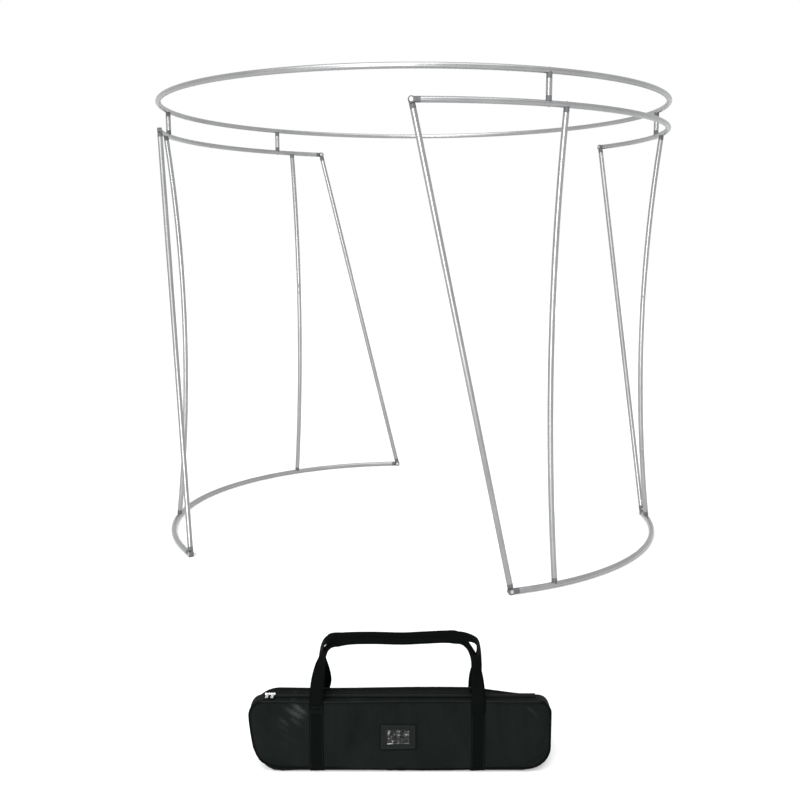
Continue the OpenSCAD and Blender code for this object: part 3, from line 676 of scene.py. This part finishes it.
def strap(name, side, path, twist, node_names):
    """A webbing hand loop: path gives (t, x, height up the lean), twist (t, degrees)."""
    across = [(t, x) for t, x, _ in path]
    up = [(t, v) for t, _, v in path]
    bm = bmesh.new()
    bmesh.ops.create_grid(bm, x_segments=220, y_segments=4, size=0.5)
    uv = bm.loops.layers.uv.new("weave")
    for face in bm.faces:
        for loop in face.loops:
            loop[uv].uv = (loop.vert.co.y * webbing_w, (loop.vert.co.x + 0.5) * webbing_run)
    for vertex in bm.verts:
        t = vertex.co.x + 0.5
        x, v = spline(across, t), spline(up, t)
        w = vertex.co.y * (webbing_w - bar_pinch * ease((v - 0.10) / 0.09))
        dx = spline(across, min(1.0, t + 0.004)) - spline(across, max(0.0, t - 0.004))
        dv = spline(up, min(1.0, t + 0.004)) - spline(up, max(0.0, t - 0.004))
        size = math.hypot(dx, dv)
        out_x, out_v = -dv / size, dx / size
        turn = math.radians(spline(twist, t))
        x += out_x * w * math.cos(turn)
        v += out_v * w * math.cos(turn)
        out_y = w * math.sin(turn)
        y = side * (foot_y - v * math.sin(lean)) if v > 0 else side * foot_y
        z = bag_h + v * (math.cos(lean) if v > 0 else 1.0)
        vertex.co = (x, y + out_y, z)
    bmesh.ops.recalc_face_normals(bm, faces=bm.faces)
    bmesh.ops.solidify(bm, geom=bm.faces[:], thickness=webbing_t)
    piece = add_piece(name, bm, webbing)
    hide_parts(*node_names)
    return piece


front_path = [(0.00, -0.276, -0.040), (0.05, -0.276, 0.000), (0.12, -0.274, 0.055),
              (0.18, -0.267, 0.105), (0.225, -0.258, 0.140), (0.26, -0.248, 0.168),
              (0.285, -0.233, 0.187), (0.32, -0.207, 0.201), (0.36, -0.170, 0.2065),
              (0.45, -0.090, 0.208), (0.55, 0.010, 0.206), (0.62, 0.080, 0.209),
              (0.69, 0.150, 0.212), (0.735, 0.189, 0.210), (0.76, 0.211, 0.199),
              (0.785, 0.229, 0.180), (0.82, 0.245, 0.146), (0.86, 0.253, 0.103),
              (0.91, 0.258, 0.048), (0.95, 0.259, 0.000), (1.00, 0.259, -0.040)]
front_twist = [(0.0, 0), (0.06, 0), (0.11, 8), (0.16, 28), (0.205, 48), (0.25, 70),
               (0.28, 77), (0.305, 60), (0.33, 22), (0.37, 3), (0.45, 0), (0.62, 0),
               (0.70, 4), (0.73, 32), (0.755, 68), (0.785, 75), (0.82, 63), (0.86, 42),
               (0.91, 16), (0.95, 2), (1.0, 0)]
back_path = [(0.00, -0.268, -0.040), (0.05, -0.262, 0.000), (0.085, -0.256, 0.027),
             (0.12, -0.256, 0.055), (0.18, -0.259, 0.105), (0.225, -0.261, 0.146),
             (0.26, -0.259, 0.176), (0.285, -0.250, 0.196), (0.32, -0.226, 0.207),
             (0.36, -0.180, 0.208), (0.45, -0.090, 0.206), (0.55, 0.010, 0.204),
             (0.62, 0.080, 0.207), (0.69, 0.150, 0.211), (0.735, 0.206, 0.213),
             (0.76, 0.238, 0.208), (0.785, 0.258, 0.192), (0.82, 0.263, 0.156),
             (0.86, 0.260, 0.108), (0.91, 0.256, 0.048), (0.95, 0.256, 0.000),
             (1.00, 0.258, -0.040)]
back_twist = [(0.0, 0), (0.06, 0), (0.11, 10), (0.16, 32), (0.205, 54), (0.25, 74),
              (0.28, 80), (0.305, 64), (0.33, 22), (0.37, 3), (0.45, 0), (0.62, 0),
              (0.70, 4), (0.73, 36), (0.755, 71), (0.785, 78), (0.82, 66), (0.86, 44),
              (0.91, 16), (0.95, 2), (1.0, 0)]
for label, side, path, twist in (("front", -1, front_path, front_twist),
                                 ("back", 1, back_path, back_twist)):
    loop = strap("hand_loop_" + label, side, path, twist, ["bag_handle_" + label])
    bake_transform(loop)


# Rays that find the cloth start this far out from the bag's middle.
ray_from, ray_reach = 0.3, 0.35


def cloth_y(x, z, side):
    """Where the shell's front or back lies at x and z."""
    spot = shell_tree.ray_cast(Vector((x, side * ray_from, z)), Vector((0, -side, 0)),
                               ray_reach)[0]
    return spot.y if spot else side * bag_d / 2


def draped(bm, side, lift):
    """Presses a flat patch that faces the front or back on to the shell."""
    for vertex in bm.verts:
        vertex.co.y = cloth_y(vertex.co.x, vertex.co.z, side) + side * lift
    return bm


def thicken(piece, thickness, offset):
    """Gives a sheet its thickness; offset says on which side of it."""
    wall = piece.modifiers.new("thickness", "SOLIDIFY")
    wall.thickness = thickness
    wall.offset = offset
    settle(piece)


band_bm = bmesh.new()
for side in (-1, 1):
    for x in band_places:
        made = bmesh.ops.create_grid(band_bm, x_segments=8, y_segments=50, size=0.5)
        for vertex in made["verts"]:
            u, v = vertex.co.x, vertex.co.y
            z = band_low + (v + 0.5) * (bag_h - 0.008)
            y = cloth_y(x + u * webbing_w, z, side)
            vertex.co = (x + u * webbing_w, y + side * 0.0004, z)
        under = bmesh.ops.create_grid(band_bm, x_segments=8, y_segments=24, size=0.5)
        for vertex in under["verts"]:
            u, v = vertex.co.x, vertex.co.y
            spot = shell_tree.ray_cast(Vector((x + u * webbing_w, v * (bag_d - 0.004), -0.2)),
                                       Vector((0, 0, 1)), 0.4)[0]
            z = spot.z if spot else under_z
            vertex.co = (x + u * webbing_w, v * (bag_d - 0.004), z)
bmesh.ops.recalc_face_normals(band_bm, faces=band_bm.faces)
band = add_piece("bag_bands_sewn", band_bm, webbing)
thicken(band, webbing_t, 1.0)
cloth_map(band)
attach(band, "bag")
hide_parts("bag_bands")

# ------------------------------------------------------------------ stitching
# Bonded black thread: rows along both edges of the bands, bars across them where the
# straps leave the panel, and rows round the card pocket and its window.
stitch_len = 0.0030
stitch_gap = 0.0045
stitch_r = 0.00045
row_out = 0.0195     # distance of a row from the middle of its band
row_low, row_high = 0.012, 0.232
bar_heights = (0.214, 0.220, 0.232)

thread_black, place = finish("black_thread", {"Specular IOR Level": 0.25})
ply = place.noise(0.0007, 2.0)
feed(thread_black, Base_Color=ply.tint((0.008, 0.009, 0.009), (0.022, 0.023, 0.022)),
     Roughness=0.5 + ply * 0.2)


def stitch_row(bm, surface, a, b, side, lift):
    """Short stitches over a surface from a to b, both given as (x, z)."""
    a, b = Vector((a[0], 0.0, a[1])), Vector((b[0], 0.0, b[1]))
    count = max(1, round((b - a).length / stitch_gap))
    turn = (b - a).normalized().to_track_quat("X", "Z").to_matrix().to_4x4()
    for n in range(count):
        middle = a.lerp(b, (n + 0.5) / count)
        hit = surface.ray_cast(Vector((middle.x, side * ray_from, middle.z)),
                               Vector((0, -side, 0)), ray_reach)
        if not hit[0]:
            continue
        made = bmesh.ops.create_uvsphere(bm, u_segments=6, v_segments=4, radius=0.5)
        bmesh.ops.rotate(bm, cent=(0, 0, 0), matrix=Vector((1, 0, 0)).to_track_quat(
            "Z", "Y").to_matrix().inverted(), verts=made["verts"])
        bmesh.ops.scale(bm, vec=(stitch_len, 2 * stitch_r, 2 * stitch_r), verts=made["verts"])
        bmesh.ops.transform(bm, matrix=turn, verts=made["verts"])
        bmesh.ops.translate(bm, vec=(middle.x, hit[0].y + side * lift, middle.z),
                            verts=made["verts"])


band_tree = surface_of(band)
bm = bmesh.new()
for side in (-1, 1):
    for x in band_places:
        for edge in (-1, 1):
            row_x = x + edge * row_out
            stitch_row(bm, band_tree, (row_x, row_low), (row_x, row_high), side, 0.0)
        for z in bar_heights:
            stitch_row(bm, band_tree, (x - row_out, z), (x + row_out, z), side, 0.0)
band_stitches = add_piece("band_stitches", bm, thread_black)
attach(band_stitches, "bag")

# ------------------------------------------------------------------ card pocket
# A cloth patch with a raised hem, sewn to the middle of the front panel, and a
# window of thin clear vinyl that has crinkled in use.
pane_slip = Vector((-0.006, 0.0, 0.0))
pane_low, pane_high = [Vector(corner) - bag_mid + pane_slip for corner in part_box("card_pane")]
pocket_t = 0.0016
hem_w = 0.005
hem_rise = 0.0012
vinyl_t = 0.0004
vinyl_ripple = 0.0022


def patch(low, high, cells):
    """A flat grid in a panel's plane between two corners."""
    bm = bmesh.new()
    bmesh.ops.create_grid(bm, x_segments=cells[0], y_segments=cells[1], size=0.5)
    for vertex in bm.verts:
        u, v = vertex.co.x + 0.5, vertex.co.y + 0.5
        vertex.co = (low.x + (high.x - low.x) * u, 0.0, low.z + (high.z - low.z) * v)
    bmesh.ops.recalc_face_normals(bm, faces=bm.faces)
    if bm.faces[:][0].normal.y > 0:
        bmesh.ops.reverse_faces(bm, faces=bm.faces)
    return bm


bm = draped(patch(pocket_low, pocket_high, (52, 42)), -1, pocket_t)
for vertex in bm.verts:
    edge = min(vertex.co.x - pocket_low.x, pocket_high.x - vertex.co.x,
               vertex.co.z - pocket_low.z, pocket_high.z - vertex.co.z)
    vertex.co.y -= hem_rise * ease((hem_w + 0.001 - edge) / 0.0025)
pocket = add_piece("card_pocket_patch", bm, pocket_cloth)
thicken(pocket, pocket_t + 0.0008, -1.0)
cloth_map(pocket)
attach(pocket, "bag")
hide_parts("card_pocket")

vinyl, place = finish("clear_crinkled_vinyl", {"Roughness": 0.10, "Specular IOR Level": 0.30})
cockle = place.noise(0.011, 4.0, (1.0, 1.0, 1.4))
fine = place.noise(0.0035, 2.0)
lip = place.node("ShaderNodeAttribute", {"attribute_name": "lip"}, out=2)
# Painted glints: the vinyl is near black with bright patches where the crinkle noise is high,
# brighter along the bottom and right edges, and its alpha follows them.
painted_glints = cockle * 0.62 + fine * 0.38 + lip * 0.055
feed(vinyl,
     Base_Color=painted_glints.node("ShaderNodeValToRGB", {"stops": [
         (0.0, 0.002), (0.50, 0.010), (0.56, 0.040), (0.62, 0.12), (0.69, 0.60)]}, {0: painted_glints}),
     Alpha=0.5 + (painted_glints - 0.5) * 3.0,
     Normal=cockle.relief(0.0010, 0.8))
bm = draped(patch(pane_low, pane_high, (72, 48)), -1, pocket_t + hem_rise)
for vertex in bm.verts:
    x, z = vertex.co.x, vertex.co.z
    edge = min(x - pane_low.x, pane_high.x - x, z - pane_low.z, pane_high.z - z)
    ripple = noise.noise(Vector((x * 95.0, 2.0, z * 110.0)))
    ripple += 0.6 * noise.noise(Vector((x * 210.0 + z * 130.0, 5.0, z * 190.0)))
    vertex.co.y -= vinyl_ripple * abs(ripple) * ease(edge / 0.005)
pane = add_piece("card_window", bm, vinyl)
# Painted glints along the window's bottom and right edges.
painted_edge_glint_values = []
for vertex in pane.data.vertices:
    local = vertex.co - bag_mid
    painted_edge_glint_values.append(ease((0.0045 - min(pane_high.x - local.x, local.z - pane_low.z)) / 0.002))
pane.data.attributes.new("lip", "FLOAT", "POINT").data.foreach_set("value", painted_edge_glint_values)
thicken(pane, vinyl_t, 0.0)
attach(pane, "bag")
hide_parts("card_pane")

pocket_tree = surface_of(pocket)
bm = bmesh.new()
for low, high, out in ((pocket_low, pocket_high, -0.003), (pane_low, pane_high, 0.002)):
    left, right, under, over = low.x - out, high.x + out, low.z - out, high.z + out
    around = [(left, under), (right, under), (right, over), (left, over)]
    for a, b in zip(around, around[1:] + around[:1]):
        stitch_row(bm, pocket_tree, a, b, -1, 0.0001)
pocket_stitches = add_piece("pocket_stitches", bm, thread_black)
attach(pocket_stitches, "bag")

# ------------------------------------------------------------------ zip
# Knitted tapes with a nylon coil chain down the middle of the gusset's top, closed
# from end to end, with plated die-cast sliders and their pulls.
tape_low, tape_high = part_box("zip_tape")
tape_low, tape_high = Vector(tape_low) - bag_mid, Vector(tape_high) - bag_mid
tape_top = 0.2482
coil_pitch = 0.0028
coil_w = 0.006
coil_h = 0.0018
coil_wall = 0.0005
tape_t = 0.0009

knit, place = finish("knitted_zip_tape", {"Specular IOR Level": 0.04})
wales = place.part(1).wave(0.0012)
fuzz = place.noise(0.002, 2.0)
feed(knit, Base_Color=fuzz.tint((0.0022, 0.0028, 0.0027), (0.0055, 0.0062, 0.0060)),
     Roughness=0.7 + fuzz * 0.15, Normal=(wales + fuzz).relief(0.0002, 0.7))
bm = bmesh.new()
bmesh.ops.create_grid(bm, x_segments=180, y_segments=12, size=0.5)
for vertex in bm.verts:
    u, v = vertex.co.x, vertex.co.y
    x = (tape_high.x - tape_low.x) * u + (tape_high.x + tape_low.x) / 2
    y = (tape_high.y - tape_low.y) * v
    ripple = 0.0004 * noise.noise(Vector((x * 40.0, y * 30.0, 3.0)))
    vertex.co = (x, y, tape_top + ripple * ease((abs(y) - 0.004) / 0.01))
bmesh.ops.recalc_face_normals(bm, faces=bm.faces)
tape = add_piece("zip_tapes", bm, knit)
thicken(tape, tape_t, -1.0)
cloth_map(tape)
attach(tape, "bag")
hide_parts("zip_tape")

coil, place = finish("nylon_coil", {"Specular IOR Level": 0.10})
shine = place.noise(0.004, 2.0)
feed(coil, Base_Color=shine.tint((0.003, 0.003, 0.003), (0.008, 0.008, 0.008)),
     Roughness=0.42 + shine * 0.2)
bm = bmesh.new()
chain_len = tape_high.x - tape_low.x
bmesh.ops.create_grid(bm, x_segments=int(chain_len / coil_pitch * 4), y_segments=8, size=0.5)
for vertex in bm.verts:
    x = (tape_low.x + tape_high.x) / 2 + vertex.co.x * chain_len
    y = vertex.co.y * coil_w
    phase = 2 * math.pi * (x / coil_pitch + abs(y) / coil_w * 0.8 + (0.5 if y > 0 else 0.0))
    crown = math.sqrt(max(0.0, 1.0 - (2 * y / coil_w) ** 2))
    vertex.co = (x, y, tape_top - 0.0003 + coil_h * crown * (0.72 + 0.28 * math.sin(phase)))
bmesh.ops.recalc_face_normals(bm, faces=bm.faces)
chain = add_piece("zip_coil", bm, coil)
thicken(chain, coil_wall, -1.0)
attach(chain, "bag")

plating, place = finish("plated_die_casting", {"Metallic": 1.0})
pits = place.noise(0.0012, 3.0)
feed(plating, Base_Color=pits.tint((0.52, 0.52, 0.53), (0.74, 0.74, 0.75)),
     Roughness=0.20 + pits * 0.16, Normal=pits.relief(0.00004))
dress(["zip_slider_parked", "zip_slider", "zip_pull_parked", "zip_pull"], plating)

# ------------------------------------------------------------------ overall size
# The finished part's box is measured; it is a little larger than the solid model's where the slack
# cloth swells past the flat panels. The finished one may only be a little larger, where the slack
# cloth swells past the flat panels.
low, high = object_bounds()
